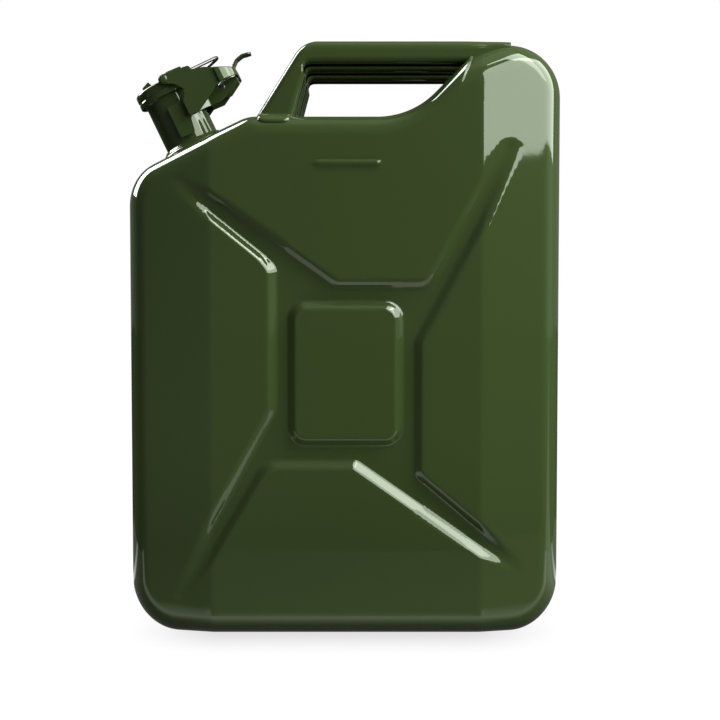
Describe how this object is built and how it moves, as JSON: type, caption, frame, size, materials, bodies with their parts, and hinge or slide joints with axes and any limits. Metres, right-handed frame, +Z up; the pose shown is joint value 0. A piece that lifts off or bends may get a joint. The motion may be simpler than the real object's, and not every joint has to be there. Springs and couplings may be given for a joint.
{
  "type": "jerry can",
  "caption": "Flat-sided pressed steel fuel can with an X-shaped stiffening channel, a row of channel handles and a tilted filler neck closed by a hinged lever cap.",
  "frame": {"origin": "under the middle of the base, on the floor the can stands on", "axes": "+Z up along the can's height, +X from the filler neck towards the rear hump, -Y out of the front pressing"},
  "size_m": [0.345, 0.165, 0.4685],
  "materials": {
    "green_paint": "gloss olive green enamel",
    "zinc_steel": "bright zinc plate",
    "black_rubber": "matt black"
  },
  "bodies": {
    "can": {"body_half_front": "green_paint", "body_half_back": "green_paint", "seam_weld": "green_paint", "handle_front": "green_paint", "handle_middle": "green_paint", "handle_back": "green_paint", "breather_tube": "zinc_steel", "neck": "green_paint", "neck_collar": "green_paint", "hinge_bracket": "green_paint", "hinge_pin": "zinc_steel"},
    "lever": {"lever_yoke": "green_paint", "thumb_lever": "green_paint", "cross_pin": "green_paint"},
    "cap": {"cap_lid": "green_paint", "cap_saddle": "green_paint", "cap_rivet": "zinc_steel", "cap_gasket": "black_rubber", "gasket_retainer": "zinc_steel"},
    "bail": {"safety_bail": "zinc_steel"}
  },
  "joints": [
    {"name": "lever_hinge", "type": "hinge", "parent": "can", "child": "lever", "pos_m": [-0.10042, 0, 0.43863], "axis": [0, 1, 0], "range_deg": [0, 92]},
    {"name": "cap_swivel", "type": "hinge", "parent": "lever", "child": "cap", "pos_m": [-0.14659, 0, 0.44272], "axis": [0, 1, 0], "range_deg": [-2, 0]},
    {"name": "bail_swing", "type": "hinge", "parent": "lever", "child": "bail", "pos_m": [-0.12777, 0, 0.44972], "axis": [0, 1, 0], "range_deg": [-90, 0]}
  ],
  "couplings": [
    {"joint": "cap_swivel", "follows": "lever_hinge", "ratio": -0.02}
  ]
}
